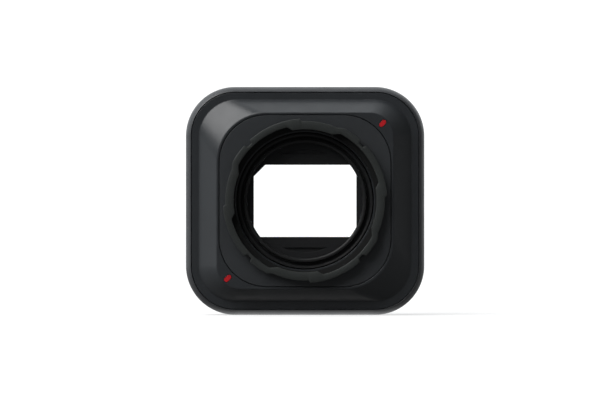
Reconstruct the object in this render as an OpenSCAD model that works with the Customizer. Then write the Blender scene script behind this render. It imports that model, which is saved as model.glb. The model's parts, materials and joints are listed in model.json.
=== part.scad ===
// Bayonet conversion lens for a compact action camera.
// The optical axis runs along Y: the camera side faces -Y and the scene side faces +Y. +Z is up.
// The origin is on the optical axis, in the face of the mount panel that meets the camera.
// Places along the axis are called ..._y and are measured from that face, in millimetres.

/* [Casing] */
// Width of the casing
body_w = 50; // [48:0.5:62]
// Height of the casing
body_h = 47.8; // [47:0.1:60]
// Corner radius of the casing's outline
body_r = 10.3; // [9.5:0.1:12]
// Distance from the mount face to the casing's front face
front_y = 18; // [18:0.5:24]
// Thickness of the casing's front wall
front_wall = 1.8; // [1.4:0.1:2.4]
// Width of the casing's rear rim, the pale band around the rear cover
rim_w = 1.15; // [0.8:0.05:1.4]
// Radius of the curve by which the rim runs into the casing's sides
rim_curve = 3; // [2:0.1:4]
// Rounding of the casing's front edge
nose_round = 3; // [1.5:0.1:3.2]
// Width of the ledge inside the casing that carries the gasket
ledge_w = 1.3; // [1:0.1:1.6]

/* [Rear cover] */
// How far the border lies in front of the raised plateau
flank_drop = 3.6; // [3:0.1:4]
// Width of the flat border between the seam and the foot of the flank
border_w = 1.4; // [0.8:0.1:1.8]
// Thickness of the border plate
border_t = 1.8; // [1.4:0.1:2.2]
// Corner radius at the foot of the flank
foot_r = 7.8; // [6:0.1:9]
// Lip of the plateau around the mount panel
lip_w = 0.65; // [0.4:0.05:0.9]
// Corner radius of the two ears that carry the index marks
ear_r = 4.9; // [4:0.1:6]
// Seam between the cover and the casing
seam = 0.1; // [0.05:0.01:0.15]

/* [Mount panel] */
// Width and height of the square mount panel
panel_w = 36; // [35.5:0.1:37]
// Corner radius of the mount panel
panel_r = 10.15; // [9:0.05:10.5]
// Thickness of the mount panel
panel_t = 1; // [0.8:0.1:1.2]
// Thickness of the adhesive film under the panel
film_t = 0.15; // [0.1:0.05:0.2]
// Gap around the panel in its pocket
panel_gap = 0.15; // [0.1:0.01:0.2]

/* [Bayonet ring] */
// Radius of the ring's bore, which takes the camera's lens nose
bore_r = 14.7; // [12:0.05:14.8]
// How far the ring stands behind the mount face
ring_proud = 1.8; // [1.4:0.1:2.2]
// Thickness of the lug plate
lug_t = 0.95; // [0.7:0.05:1]
// How far the outer lugs reach past the neck
lug_reach = 0.75; // [0.5:0.05:0.9]
// How far the outer relief between the lugs stands past the neck
relief_reach = 0.25; // [0.15:0.05:0.35]
// Wall between the bore and the neck's outside
neck_wall = 1.7; // [1.6:0.05:1.8]
// How far the inner tabs stand back from the bore
tab_back = 0.2; // [0.2:0.05:0.3]
// How far the inner relief between the tabs stands back from the bore
inner_relief = 1.1; // [0.9:0.05:1.2]
// Height of the bore's wall above the mount face
bore_rise = 0.3; // [0.1:0.05:0.5]
// Depth of the bore's wall below the mount face
bore_sink = 1.9; // [1.7:0.05:2]

/* [Index marks] */
// Length of a mark
mark_l = 1.95; // [1.5:0.05:2.2]
// Width of a mark
mark_w = 0.95; // [0.6:0.05:1.1]
// Distance of a mark's middle from the optical axis
mark_at = 22.9; // [22.7:0.05:23.1]

/* [Barrel] */
// Clearance between the ring's bore and the barrel
barrel_gap = 0.45; // [0.4:0.05:0.5]
// Wall of the barrel's rear tube
barrel_wall = 1.4; // [1.3:0.1:1.6]
// Place of the barrel's rear end
tip_y = 2.8; // [2.7:0.05:3]
// Clearance around the glass and the rings inside the barrel
glass_gap = 0.05; // [0.02:0.01:0.1]

/* [Field mask] */
// Width of the rectangular window
window_w = 21.5; // [18:0.1:22.5]
// Height of the rectangular window
window_h = 15.1; // [12:0.1:18.2]
// Legs of the window's one cut corner
window_cut = 2.4; // [1.5:0.1:3]

/* [Front glass] */
// How far the front element's radius reaches past the barrel's nose
glass_reach = 3.1; // [2.5:0.1:3.5]
// Radius of the front element's domed face
dome_curve = 30; // [28:0.5:40]

/* [Hidden] */
$fn = 96;
far = 60;       // longer than the lens in every direction
fine = 720;     // sides of the large circles that the glass faces are cut from
thread_gap = 0.02;  // between a screw's thread and its pilot hole

// Casing and cover, along the axis
border_y = flank_drop;
border_in_y = border_y + border_t;
gasket_t = 0.6;
ledge_y = border_in_y + gasket_t;
wall_y = front_y - front_wall;

// Casing and cover, across the axis
rim_land = 0.1;     // flat left between the seam and the rim's curve
rim_rise = sqrt(pow(rim_curve, 2) - pow(rim_curve - rim_w + rim_land, 2));
seat_w = body_w - 2 * rim_w;
seat_h = body_h - 2 * rim_w;
seat_r = body_r - rim_w;
cover_w = seat_w - 2 * seam;
cover_h = seat_h - 2 * seam;
cover_r = seat_r - seam;
foot_w = cover_w - 2 * border_w;
foot_h = cover_h - 2 * border_w;
plateau_w = panel_w + 2 * (panel_gap + lip_w);
plateau_r = panel_r + panel_gap + lip_w;

// Panel, ring and cover plate, along the axis
pocket_y = panel_t + film_t;
flange_t = 1.2;
flange_y = pocket_y + flange_t;
plate_y = 4.4;      // inner face of the cover's plate, where the barrel's flange sits
plate_pocket_r = 17.2 + bore_r - 14.7;

// Bayonet ring, across the axis
neck_r = bore_r + neck_wall;
lug_r = neck_r + lug_reach;
flange_r = neck_r + 0.8;
tab_r = bore_r + tab_back;
inner_relief_r = bore_r + inner_relief;
ring_gap = 0.15;    // around the ring's neck and flange
notch_bottom = 0.05;    // how far the notch's floor stands past the neck

// Barrel stack, across the axis
barrel_r = bore_r - barrel_gap;
cell_r = barrel_r - barrel_wall;
lens_r = cell_r - glass_gap;
clear_r = lens_r - 0.75;    // clear aperture of the rings in the barrel
flange_out_r = barrel_r + 2.6;
nose_r = barrel_r + 0.45;   // the barrel's front tube
bore_slip = 0.15;   // between the barrel and the holes that it passes through
seal_r = (barrel_r + cell_r) / 2 + 0.05;    // middle of the mount seal
seal_half = 0.5;    // half its width
groove_depth = 0.45;    // of the barrel's O-ring groove

// Barrel stack, along the axis
retainer_y = tip_y - 0.5;
mask_y = tip_y + 1;
seal_sink = 0.3;    // depth of the seal's groove in the barrel's end
groove_y = tip_y + 0.6;
groove_t = 0.6;
mask_t = 1.2;
rear_lens_y = mask_y + mask_t;
rear_edge_t = 1.2;
rear_curve = 60;
seat_y = front_y - 3.1;     // where the front element's rear face lies
nose_y = seat_y - 0.3;
nose_bore_depth = 2.2;
mid_seat_y = nose_y - nose_bore_depth;
stop_t = 0.7;
stop_y = mid_seat_y - stop_t;
doublet_t = 3.4;
doublet_y = stop_y - doublet_t;
cement_curve = 50;
cement_t = 0.02;
crown_edge_t = 0.7;

// Middle element, seated in the barrel's nose
mid_bore_r = nose_r - 0.9;
mid_r = mid_bore_r - glass_gap;
mid_dome_r = mid_r - 0.8;
mid_rim_t = 1.1;
mid_curve = 28;
mid_hollow_curve = 30;
mid_hollow_r = mid_r - 1.7;
mid_step = 0.7;     // height of the dome's foot above the rim

// Front element and what holds it
glass_r = nose_r + glass_reach;
glass_rim_t = 1.4;
dome_r = glass_r - 1.2;
dome_step = 1.1;
hollow_curve = 22;
hollow_r = glass_r - 3.8;
cup_gap = 0.1;
cup_r = glass_r + cup_gap;
cup_wall = 1.5;
o_ring_t = 0.7;
cup_floor_y = seat_y - o_ring_t;
cup_floor_t = 1;
trim_t = 1.2;
trim_sink = 0.6;
trim_y = front_y - trim_sink;
trim_r = glass_r + 2.6;

// Screws: [distance from the axis, first angle]
cover_screw_at = 19;
cover_screw_a = 45;
ring_screw_at = bore_r + 0.95;
ring_screw_a = -6;
barrel_screw_at = barrel_r + 1.65;
barrel_screw_a = 39;
m16_r = 0.8;
m10_r = 0.5;
boss_r = 1.9;
pass_gap = 0.1;
head_16 = [1.3, 0.7];   // radius and height of the larger screws' heads
head_10 = [0.9, 0.6];

// Where a circle of radius c bulges to, at the distance r from its middle line
function sag(c, r) = c - sqrt(c * c - r * r);
// A point at the distance r and the angle a
function at(r, a) = [r * cos(a), r * sin(a)];
// A point k times as far from p as q is
function past(p, q, k) = p + k * (q - p);

// Placing ------------------------------------------------------------------------------------

// Extrudes an outline drawn as the camera side shows it, from y0 to y1
module slab(y0, y1) {
    translate([0, y1, 0]) rotate([90, 0, 0]) linear_extrude(height = y1 - y0) children();
}

// Turns a profile about the optical axis; its x is the radius and its y is the place along the axis
module turned() {
    rotate([-90, 0, 0]) rotate_extrude() children();
}

// A rectangle of a profile: radii r0 to r1, places y0 to y1
module band(r0, r1, y0, y1) {
    translate([r0, y0]) square([r1 - r0, y1 - y0]);
}

// Four copies about the optical axis, the first at the angle a, at the distance r
module four_round(r, a) {
    for (k = [0 : 3]) rotate([0, -(a + 90 * k), 0]) translate([r, 0, 0]) children();
}

// A cylinder along the axis
module rod(r, y0, y1) {
    slab(y0, y1) circle(r);
}

// Outlines -----------------------------------------------------------------------------------

// A rectangle whose corners have the radius r
module rounded(w, h, r) {
    square([w - 2 * r, h], center = true);
    square([w, h - 2 * r], center = true);
    for (x = [-1, 1], z = [-1, 1]) translate([x * (w / 2 - r), z * (h / 2 - r)]) circle(r);
}

// The window: a rectangle with one cut corner, inside the clear aperture
module window() {
    intersection() {
        difference() {
            square([window_w, window_h], center = true);
            translate([-window_w / 2, window_h / 2]) rotate(45)
                square([window_cut * sqrt(2), window_cut * sqrt(2)], center = true);
        }
        circle(clear_r);
    }
}

// One index mark, lying along its radius
module mark(grow) {
    l = mark_l - mark_w;
    translate([mark_at, 0]) {
        square([l, mark_w + 2 * grow], center = true);
        for (s = [-1, 1]) translate([s * l / 2, 0]) circle(mark_w / 2 + grow);
    }
}

// What is cut from the lug plate's outside: per quarter one relief and one notch
module lug_gaps() {
    relief_r = neck_r + relief_reach;
    a = at(relief_r, -24);
    b = at(relief_r, 2.5);
    notch_r = neck_r + notch_bottom;
    for (k = [0 : 3]) rotate(90 * k) {
        difference() {
            polygon([a, past(a, at(lug_r, -28), 3), at(lug_r + 4, -11), past(b, at(lug_r, 4), 3), b]);
            circle(relief_r);
        }
        polygon([at(notch_r, 43), at(lug_r + 1, 40.5), at(lug_r + 1, 49.5), at(notch_r, 47)]);
    }
}

// What is cut from the lug plate's inside: per quarter one relief between two tabs
module tab_gaps() {
    circle(tab_r);
    c = at(tab_r, 10);
    d = at(tab_r, 68);
    for (k = [0 : 3]) rotate(90 * k) intersection() {
        polygon([[0, 0], c, past(c, at(inner_relief_r, 14), 1.5), at(inner_relief_r + 3, 38),
                 past(d, at(inner_relief_r, 62), 1.5), d]);
        circle(inner_relief_r);
    }
}

// Casing -------------------------------------------------------------------------------------

// Cross-section of the casing across its half size h: the rim's curve ends at a narrow land
module casing_section(h) {
    straight_y = border_y + rim_rise;
    translate([-h, straight_y]) square([2 * h, front_y - nose_round - straight_y]);
    translate([-(h - nose_round), front_y - nose_round]) square([2 * (h - nose_round), nose_round]);
    for (s = [-1, 1]) translate([s * (h - nose_round), front_y - nose_round]) circle(nose_round);
    intersection() {
        translate([-h, border_y]) square([2 * h, rim_rise]);
        union() {
            square([2 * (h - rim_curve), 2 * straight_y], center = true);
            for (s = [-1, 1]) translate([s * (h - rim_curve), straight_y]) circle(rim_curve);
        }
    }
}

// The casing's outer form: its section along both straight spans and turned round each corner
module casing_form() {
    hx = body_w / 2 - body_r;
    hz = body_h / 2 - body_r;
    linear_extrude(height = 2 * hz, center = true) casing_section(body_w / 2);
    rotate([0, -90, 0]) linear_extrude(height = 2 * hx, center = true) casing_section(body_h / 2);
    for (c = [[1, -1, 0], [-1, -1, 90], [-1, 1, 180], [1, 1, 270]])
        translate([c[0] * hx, 0, c[1] * hz]) rotate([0, c[2], 0])
            rotate([-90, 0, 0]) rotate_extrude(angle = 90) intersection() {
                casing_section(body_r);
                translate([0, border_y]) square([body_r, front_y - border_y]);
            }
}

module front_shell() {
    cavity = 2 * (rim_w + ledge_w);
    color("#2c2d2f") difference() {
        union() {
            difference() {
                casing_form();
                slab(border_y - 1, ledge_y) rounded(seat_w, seat_h, seat_r);
                slab(border_y, wall_y)
                    rounded(body_w - cavity, body_h - cavity, body_r - cavity / 2);
            }
            rod(cup_r + cup_wall, cup_floor_y - cup_floor_t, wall_y + 0.5);
            four_round(cover_screw_at, cover_screw_a) rod(boss_r, border_in_y, wall_y + 0.5);
        }
        rod(cup_r, cup_floor_y, far);
        rod(nose_r + bore_slip, border_y, far);
        rod(trim_r + cup_gap, trim_y, far);
        four_round(cover_screw_at, cover_screw_a)
            rod(m16_r + thread_gap, border_in_y - 1, border_in_y + 5.2);
    }
}

module front_trim() {
    color("#1b1c1d") turned() difference() {
        band(dome_r + 0.2, trim_r, trim_y, trim_y + trim_t);
        translate([dome_r + 0.2, trim_y + trim_t]) rotate(45) square(1.1, center = true);
        translate([trim_r, trim_y + trim_t]) rotate(45) square(0.7, center = true);
    }
}

module body_gasket() {
    color("#101112") slab(border_in_y, ledge_y) difference() {
        rounded(seat_w - 0.4, seat_h - 0.4, seat_r - 0.2);
        rounded(seat_w - 2.2, seat_h - 2.2, seat_r - 1.1);
    }
}

// Rear cover ---------------------------------------------------------------------------------

flank_arc = 12;     // facets round each corner of the flank
flank_levels = 7;

// Half sizes and the four corner radii of the flank at the share s of its way outwards
function flank_half(s, w0, w1) = (w0 + s * (w1 - w0)) / 2;
function flank_r(s, k) = (k % 2 == 0 ? ear_r : plateau_r) * (1 - s) + foot_r * s;
// How far the flank has dropped there: level at the plateau's edge and at its foot
function flank_y(s) = border_y * (0.55 * s + 0.45 * s * s * (3 - 2 * s));

// One level of the flank, corner by corner, anticlockwise as the camera side shows it
function flank_ring(s) = [
    for (k = [0 : 3], i = [0 : flank_arc])
        let (r = flank_r(s, k), a = 90 * (k + i / flank_arc),
             x = (k == 0 || k == 3 ? 1 : -1) * (flank_half(s, plateau_w, foot_w) - r),
             z = (k < 2 ? 1 : -1) * (flank_half(s, plateau_w, foot_h) - r))
        [x + r * cos(a), flank_y(s), z + r * sin(a)]];

module flank() {
    n = 4 * (flank_arc + 1);
    points = [for (j = [0 : flank_levels]) each flank_ring(j / flank_levels)];
    polyhedron(points, [
        [for (i = [0 : n - 1]) n - 1 - i],
        [for (i = [0 : n - 1]) flank_levels * n + i],
        for (j = [0 : flank_levels - 1], i = [0 : n - 1])
            let (e = (i + 1) % n) [j * n + e, (j + 1) * n + e, (j + 1) * n + i, j * n + i]]);
}

module rear_cover() {
    pocket = panel_w + 2 * panel_gap;
    color("#25272a") difference() {
        union() {
            flank();
            slab(border_y, border_in_y) rounded(cover_w, cover_h, cover_r);
        }
        slab(-1, pocket_y) rounded(pocket, pocket, panel_r + panel_gap);
        rod(flange_r + 0.1, -1, flange_y);
        rod(barrel_r + bore_slip, -1, far);
        rod(plate_pocket_r, plate_y, far);
        for (a = [45, 225]) slab(-1, 0.5) rotate(a) mark(0.05);
        four_round(cover_screw_at, cover_screw_a) {
            rod(m16_r + pass_gap, 0, far);
            rod(head_16[0] + pass_gap, 0, pocket_y + head_16[1] + pass_gap);
        }
        four_round(ring_screw_at, ring_screw_a) {
            rod(m10_r + pass_gap, 0, far);
            rod(head_10[0] + 0.05, plate_y - head_10[1] - 0.05, far);
        }
        four_round(barrel_screw_at, barrel_screw_a) rod(m10_r + thread_gap, flange_y + 0.25, far);
    }
}

module mount_panel() {
    color("#2b2e30") slab(0, panel_t) difference() {
        rounded(panel_w, panel_w, panel_r);
        circle(neck_r + ring_gap);
    }
}

module panel_adhesive() {
    color("#3a3a38") slab(panel_t, pocket_y) difference() {
        rounded(panel_w - 1, panel_w - 1, panel_r - 0.5);
        circle(panel_w / 2);
    }
}

module index_mark(a) {
    color("#c4202c") slab(0.08, 0.5) rotate(a) mark(0);
}

module index_mark_upper() {
    index_mark(45);
}

module index_mark_lower() {
    index_mark(225);
}

// Bayonet ring -------------------------------------------------------------------------------

module bayonet_ring() {
    color("#2d302f") difference() {
        union() {
            slab(-ring_proud, lug_t - ring_proud) difference() {
                circle(lug_r);
                lug_gaps();
                tab_gaps();
            }
            turned() {
                band(inner_relief_r, neck_r, lug_t - ring_proud, -bore_rise);
                band(bore_r, neck_r, -bore_rise, bore_sink);
                band(bore_r + 0.2, flange_r, bore_sink, flange_y);
                band(neck_r - 0.1, flange_r, pocket_y, bore_sink);
            }
        }
        four_round(ring_screw_at, ring_screw_a) rod(m10_r + thread_gap, 0.5, far);
    }
}

module mount_seal() {
    crown_y = tip_y - 0.25;
    color("#0c0d0e") turned() {
        band(seal_r - seal_half, seal_r + seal_half, crown_y, tip_y + seal_sink);
        translate([seal_r, crown_y]) circle(seal_half);
    }
}

// Barrel and rear group ----------------------------------------------------------------------

module lens_barrel() {
    color("#17181a") difference() {
        turned() difference() {
            union() {
                band(cell_r, barrel_r, tip_y, stop_y);
                band(cell_r, flange_out_r, plate_y, plate_y + 1.4);
                band(cell_r, nose_r, plate_y + 1.4, nose_y);
                band(clear_r, nose_r, stop_y, mid_seat_y);
            }
            band(cell_r - 1, mid_bore_r, mid_seat_y, far);
            band(seal_r - seal_half - thread_gap, seal_r + seal_half + thread_gap, 0, tip_y + seal_sink);
            band(barrel_r - groove_depth, far, groove_y, groove_y + groove_t);
        }
        four_round(barrel_screw_at, barrel_screw_a) rod(m10_r + pass_gap, 0, plate_y + 2);
    }
}

module barrel_o_ring() {
    r = min(groove_depth + bore_slip, groove_t) / 2;
    color("#0c0d0e") turned()
        translate([barrel_r - groove_depth + r, groove_y + groove_t / 2]) circle(r);
}

module rear_retainer() {
    color("#1e1f21") turned() difference() {
        band(clear_r, lens_r, retainer_y, mask_y);
        translate([clear_r, retainer_y]) rotate(45) square(0.35, center = true);
    }
}

module field_mask() {
    color("#1a1b1d") difference() {
        slab(mask_y, rear_lens_y) difference() {
            circle(lens_r);
            window();
        }
        rod(clear_r, rear_lens_y - 0.1, far);
        for (s = [-1, 1]) slab(mask_y - 1, mask_y + 0.35) intersection() {
            circle(clear_r - 1.25);
            translate([-far / 2, s > 0 ? 9.8 : -9.8 - far]) square(far);
        }
    }
}

module rear_element() {
    edge_y = rear_lens_y + rear_edge_t;
    color("#7f93a0") turned() {
        band(0, lens_r, rear_lens_y, edge_y);
        intersection() {
            band(0, clear_r, rear_lens_y, far);
            translate([0, edge_y + sag(rear_curve, clear_r) - rear_curve]) circle(rear_curve, $fn = fine);
        }
    }
}

module rear_spacer() {
    color("#17181a") turned() band(clear_r, lens_r, rear_lens_y + rear_edge_t, doublet_y);
}

// The cemented face's circle, at the apex y
module cement_face(y) {
    translate([0, y - cement_curve]) circle(cement_curve, $fn = fine);
}

module doublet_crown() {
    apex = doublet_y + crown_edge_t + sag(cement_curve, lens_r);
    color("#7f93a0") turned() intersection() {
        band(0, lens_r, doublet_y, far);
        cement_face(apex);
    }
}

module doublet_flint() {
    apex = doublet_y + crown_edge_t + sag(cement_curve, lens_r) + cement_t;
    color("#8b98a0") turned() difference() {
        band(0, lens_r, doublet_y + crown_edge_t, stop_y);
        cement_face(apex);
    }
}

module middle_element() {
    dome_foot_y = mid_seat_y + mid_rim_t + mid_step;
    color("#7f93a0") turned() difference() {
        union() {
            band(0, mid_r, mid_seat_y, mid_seat_y + mid_rim_t);
            intersection() {
                band(0, mid_dome_r, mid_seat_y, far);
                translate([0, dome_foot_y + sag(mid_curve, mid_dome_r) - mid_curve])
                    circle(mid_curve, $fn = fine);
            }
        }
        translate([0, mid_seat_y + sag(mid_hollow_curve, mid_hollow_r) - mid_hollow_curve])
            circle(mid_hollow_curve, $fn = fine);
    }
}

module middle_retainer() {
    color("#1e1f21") turned()
        band(mid_dome_r + 0.1, mid_r, mid_seat_y + mid_rim_t, nose_y - 0.1);
}

// Front group --------------------------------------------------------------------------------

module front_element() {
    dome_foot_y = seat_y + glass_rim_t + dome_step;
    color("#6d8291") turned() difference() {
        union() {
            band(0, glass_r, seat_y, seat_y + glass_rim_t);
            intersection() {
                band(0, dome_r, seat_y, far);
                translate([0, dome_foot_y + sag(dome_curve, dome_r) - dome_curve])
                    circle(dome_curve, $fn = fine);
            }
        }
        translate([0, seat_y + sag(hollow_curve, hollow_r) - hollow_curve]) circle(hollow_curve, $fn = fine);
    }
}

module front_o_ring() {
    color("#0c0d0e") turned()
        translate([glass_r - 1.4, cup_floor_y + o_ring_t / 2]) circle(o_ring_t / 2);
}

module front_retainer() {
    color("#1e1f21") turned()
        band(dome_r + 0.1, cup_r - glass_gap, seat_y + glass_rim_t, trim_y);
}

// Screws -------------------------------------------------------------------------------------

// A screw along the axis: its head lies from y0 towards y1, and a hexagon socket opens at y0
module screw(head, r, y0, y1) {
    way = y1 > y0 ? 1 : -1;
    under = y0 + way * head[1];
    color("#8e9092") difference() {
        union() {
            rod(head[0], min(y0, under), max(y0, under));
            rod(r, min(under, y1), max(under, y1));
        }
        slab(min(y0 - way, y0 + way * 0.35), max(y0 - way, y0 + way * 0.35))
            circle(head[0] * 0.5, $fn = 6);
    }
}

module cover_screws() {
    four_round(cover_screw_at, cover_screw_a)
        screw(head_16, m16_r, pocket_y + pass_gap, border_in_y + 4.6);
}

module ring_screws() {
    four_round(ring_screw_at, ring_screw_a) screw(head_10, m10_r, plate_y - 0.05, 0.7);
}

module barrel_screws() {
    four_round(barrel_screw_at, barrel_screw_a)
        screw(head_10, m10_r, plate_y + 1.4 + head_10[1], flange_y + 0.4);
}

front_shell();
rear_cover();
mount_panel();
panel_adhesive();
bayonet_ring();
index_mark_upper();
index_mark_lower();
mount_seal();
lens_barrel();
barrel_o_ring();
rear_retainer();
field_mask();
rear_element();
rear_spacer();
doublet_crown();
doublet_flint();
middle_element();
middle_retainer();
front_element();
front_o_ring();
front_retainer();
front_trim();
body_gasket();
cover_screws();
ring_screws();
barrel_screws();
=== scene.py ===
"""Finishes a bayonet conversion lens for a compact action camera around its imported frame."""
import json
import math

import bmesh
import bpy
from bpy.props import FloatProperty, FloatVectorProperty, PointerProperty
from mathutils import Matrix, Vector


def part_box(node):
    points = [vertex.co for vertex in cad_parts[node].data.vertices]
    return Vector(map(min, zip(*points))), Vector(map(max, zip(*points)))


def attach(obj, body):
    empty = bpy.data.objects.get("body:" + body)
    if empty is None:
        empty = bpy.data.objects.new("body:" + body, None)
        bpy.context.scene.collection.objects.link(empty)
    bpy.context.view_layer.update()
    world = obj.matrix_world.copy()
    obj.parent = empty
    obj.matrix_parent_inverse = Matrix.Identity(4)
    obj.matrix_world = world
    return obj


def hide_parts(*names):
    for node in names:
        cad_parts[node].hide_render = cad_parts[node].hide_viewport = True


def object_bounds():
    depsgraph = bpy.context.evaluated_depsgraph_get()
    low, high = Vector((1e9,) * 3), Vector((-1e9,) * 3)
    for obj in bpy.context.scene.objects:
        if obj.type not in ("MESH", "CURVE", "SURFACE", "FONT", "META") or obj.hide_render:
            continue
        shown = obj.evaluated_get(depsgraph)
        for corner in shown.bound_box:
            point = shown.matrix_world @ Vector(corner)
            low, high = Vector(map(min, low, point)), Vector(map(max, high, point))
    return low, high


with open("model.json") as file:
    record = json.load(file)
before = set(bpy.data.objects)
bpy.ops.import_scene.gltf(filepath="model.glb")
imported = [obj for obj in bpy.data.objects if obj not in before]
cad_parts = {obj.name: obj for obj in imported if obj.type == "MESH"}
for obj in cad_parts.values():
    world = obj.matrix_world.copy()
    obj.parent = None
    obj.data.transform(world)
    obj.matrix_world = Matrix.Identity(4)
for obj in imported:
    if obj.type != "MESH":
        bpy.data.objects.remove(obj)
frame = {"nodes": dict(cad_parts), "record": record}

bl_info = {
    "name": "Bayonet conversion lens",
    "version": (1, 0, 0),
    "blender": (4, 5, 0),
    "location": "3D View > Sidebar > Lens",
    "description": "Builds the pieces, finishes and stage of a clip-on conversion lens",
    "category": "Add Mesh",
}

MM = 0.001              # pieces are modelled in millimetres and scaled to metres at the end
CAD_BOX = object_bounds()
CORNER_STEPS = 24       # facets round each corner of an outline
CURVE_STEPS = 10        # facets across the casing's rounded rim and front edge
LOOP = 4 * (CORNER_STEPS + 1)   # points of an outline, and of a circle that joins one
TURN_STEPS = 200        # facets round a turned piece
RING_STEPS = 1440       # points round the bayonet's lug plate, four to a degree
MERGE = 0.0005          # points closer than this, in millimetres, are one
SHARP = math.radians(55)        # edges that turn by more stay crisp
MARK_SIDES = {"upper": 45, "lower": 225}        # where the index marks lie, in degrees
LIFT = 50               # how far loops are held apart while they are joined, in millimetres
FIT = 0.1               # gap round a piece that sits in another, in millimetres
GLASS_R = 12.8          # radius of the glass inside the barrel, in millimetres
CLEAR_R = 12.05         # radius that the barrel and its rings leave clear, in millimetres


def box_size(node, axis):
    """A node's extent along an axis, in millimetres"""
    low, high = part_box(node)
    return (high[axis] - low[axis]) / MM


def box_end(node, axis, side):
    """The place of a node's lowest (0) or highest (1) side along an axis, in millimetres"""
    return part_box(node)[side][axis] / MM


def linear(code):
    """An sRGB hex colour as linear red, green, blue and alpha"""
    channels = [int(code[i:i + 2], 16) / 255 for i in (0, 2, 4)]
    return (*[c / 12.92 if c <= 0.04045 else ((c + 0.055) / 1.055) ** 2.4 for c in channels], 1.0)


# Sizes and colours ---------------------------------------------------------------------------

def size(name, text, mm):
    """A length that the user may change"""
    return FloatProperty(name=name, description=text, default=mm * MM, min=0, unit="LENGTH", precision=5)


def paint(name, text, code):
    """A colour that the user may change"""
    return FloatVectorProperty(name=name, description=text, default=linear(code), size=4, min=0, max=1,
                               subtype="COLOR")


class LensSizes(bpy.types.PropertyGroup):
    """Sizes of the lens"""
    body_w: size("Casing width", "Width of the casing", box_size("front_shell", 0))
    body_h: size("Casing height", "Height of the casing", box_size("front_shell", 2))
    body_r: size("Casing corners", "Corner radius of the casing's outline", 10.3)
    rim_w: size("Rim width", "Width of the pale rim round the rear cover", 1.15)
    rim_curve: size("Rim curve", "Radius by which the rim runs into the sides", 3)
    nose_round: size("Front rounding", "Rounding of the casing's front edge", 3)
    border_w: size("Border width", "Flat border between the seam and the flank", 1.4)
    foot_r: size("Foot corners", "Corner radius at the foot of the flank", 7.8)
    lip_w: size("Lip width", "Lip of the plateau round the mount panel", 0.3)
    ear_r: size("Ear corners", "Corner radius of the two ears with the index marks", 4.9)
    panel_w: size("Panel width", "Width and height of the mount panel", 35.74)
    panel_r: size("Panel corners", "Corner radius of the mount panel", 9.9)
    seam_w: size("Panel seam", "Seam between the mount panel and the plateau", 0.16)
    bore_r: size("Bore radius", "Radius of the bayonet ring's bore", 14.7)
    lug_r: size("Lug radius", "Radius over the bayonet's outer lugs", 17.15)
    mark_l: size("Mark length", "Length of an index mark", 1.8)
    mark_w: size("Mark width", "Width of an index mark", 1.05)
    mark_at: size("Mark distance", "Distance of an index mark from the optical axis", 22.9)
    window_w: size("Window width", "Width of the field mask's window", 21.5)
    window_h: size("Window height", "Height of the field mask's window", 15.1)
    window_cut: size("Window cut", "Legs of the window's cut corner", 2.4)


class LensColours(bpy.types.PropertyGroup):
    """Colours of the lens"""
    casing: paint("Casing", "Glass-filled polycarbonate of the casing", "3C3E41")
    cover: paint("Rear cover", "Polycarbonate of the rear cover", "36393C")
    panel: paint("Mount panel", "Polycarbonate of the mount panel", "383B3E")
    ring: paint("Bayonet ring", "Fibre-filled nylon of the bayonet ring", "3A3D3C")
    # painted shade: a darker black for the ring's inner ledge, standing in for the shade behind the tabs
    ledge_shade: paint("Ledge shade", "Painted shade on the bayonet ring's inner ledge", "121313")
    mark: paint("Index marks", "Red enamel of the index marks", "FA2932")
    rubber: paint("Seals", "Silicone rubber of the seals", "252627")
    metal: paint("Turned rings", "Black anodised aluminium", "1B1C1D")
    mask: paint("Field mask", "Moulded light baffle", "1C1D1F")


def sizes():
    """The sizes in millimetres, by name"""
    group = bpy.context.scene.lens_sizes
    return {key: getattr(group, key) / MM for key in LensSizes.__annotations__}


def colour(key):
    """One of the colours, as four linear numbers"""
    return tuple(getattr(bpy.context.scene.lens_colours, key))


# Shapes --------------------------------------------------------------------------------------

def facing(y):
    """Stands a drawing of the XY plane upright at the place y, as the camera side shows it"""
    return Matrix.Translation((0, y, 0)) @ Matrix.Rotation(math.pi / 2, 4, "X")


def about_axis(degrees):
    """Turns about the optical axis, anticlockwise as the camera side shows it"""
    return Matrix.Rotation(-math.radians(degrees), 4, "Y")


def rounded_face(bm, width, height, radii, y, steps=CORNER_STEPS):
    """Adds a rectangle with round corners; the radii start at the upper right and go anticlockwise"""
    shape = facing(y) @ Matrix.Diagonal((width / 2, height / 2, 1, 1))
    corners = bmesh.ops.create_grid(bm, x_segments=1, y_segments=1, size=1, matrix=shape)["verts"]
    order = {(True, True): 0, (False, True): 1, (False, False): 2, (True, False): 3}
    todo = [(v, radii[order[v.co.x > 0, v.co.z > 0]]) for v in corners]
    for corner, radius in todo:
        cut = bmesh.ops.bevel(bm, geom=[corner], offset=radius, offset_type="OFFSET", segments=steps,
                              profile=0.5, affect="VERTICES", material=-1, clamp_overlap=False)
    return cut["verts"][0].link_faces[0]


def outline(bm, width, height, radii, y):
    """The edges of a rectangle with round corners"""
    if not isinstance(radii, (list, tuple)):
        radii = [radii] * 4
    face = rounded_face(bm, width, height, radii, y)
    edges = list(face.edges)
    bmesh.ops.delete(bm, geom=[face], context="FACES_ONLY")
    return edges


def circle(bm, radius, y, points=LOOP):
    """The edges of a circle about the optical axis"""
    verts = bmesh.ops.create_circle(bm, cap_ends=False, segments=points, radius=radius,
                                    matrix=facing(y))["verts"]
    return list({e for v in verts for e in v.link_edges})


def shaped_circle(bm, y, table):
    """A circle whose radius follows a table of (angle, radius) that repeats every quarter turn"""
    edges = circle(bm, 1, y, RING_STEPS)
    for v in {v for e in edges for v in e.verts}:
        angle = math.atan2(v.co.z, v.co.x)
        quarter = math.degrees(angle) % 90
        for (a0, r0), (a1, r1) in zip(table, table[1:]):
            if a0 <= quarter <= a1:
                radius = r0 + (r1 - r0) * (quarter - a0) / (a1 - a0)
        v.co.x, v.co.z = radius * math.cos(angle), radius * math.sin(angle)
    return edges


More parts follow.
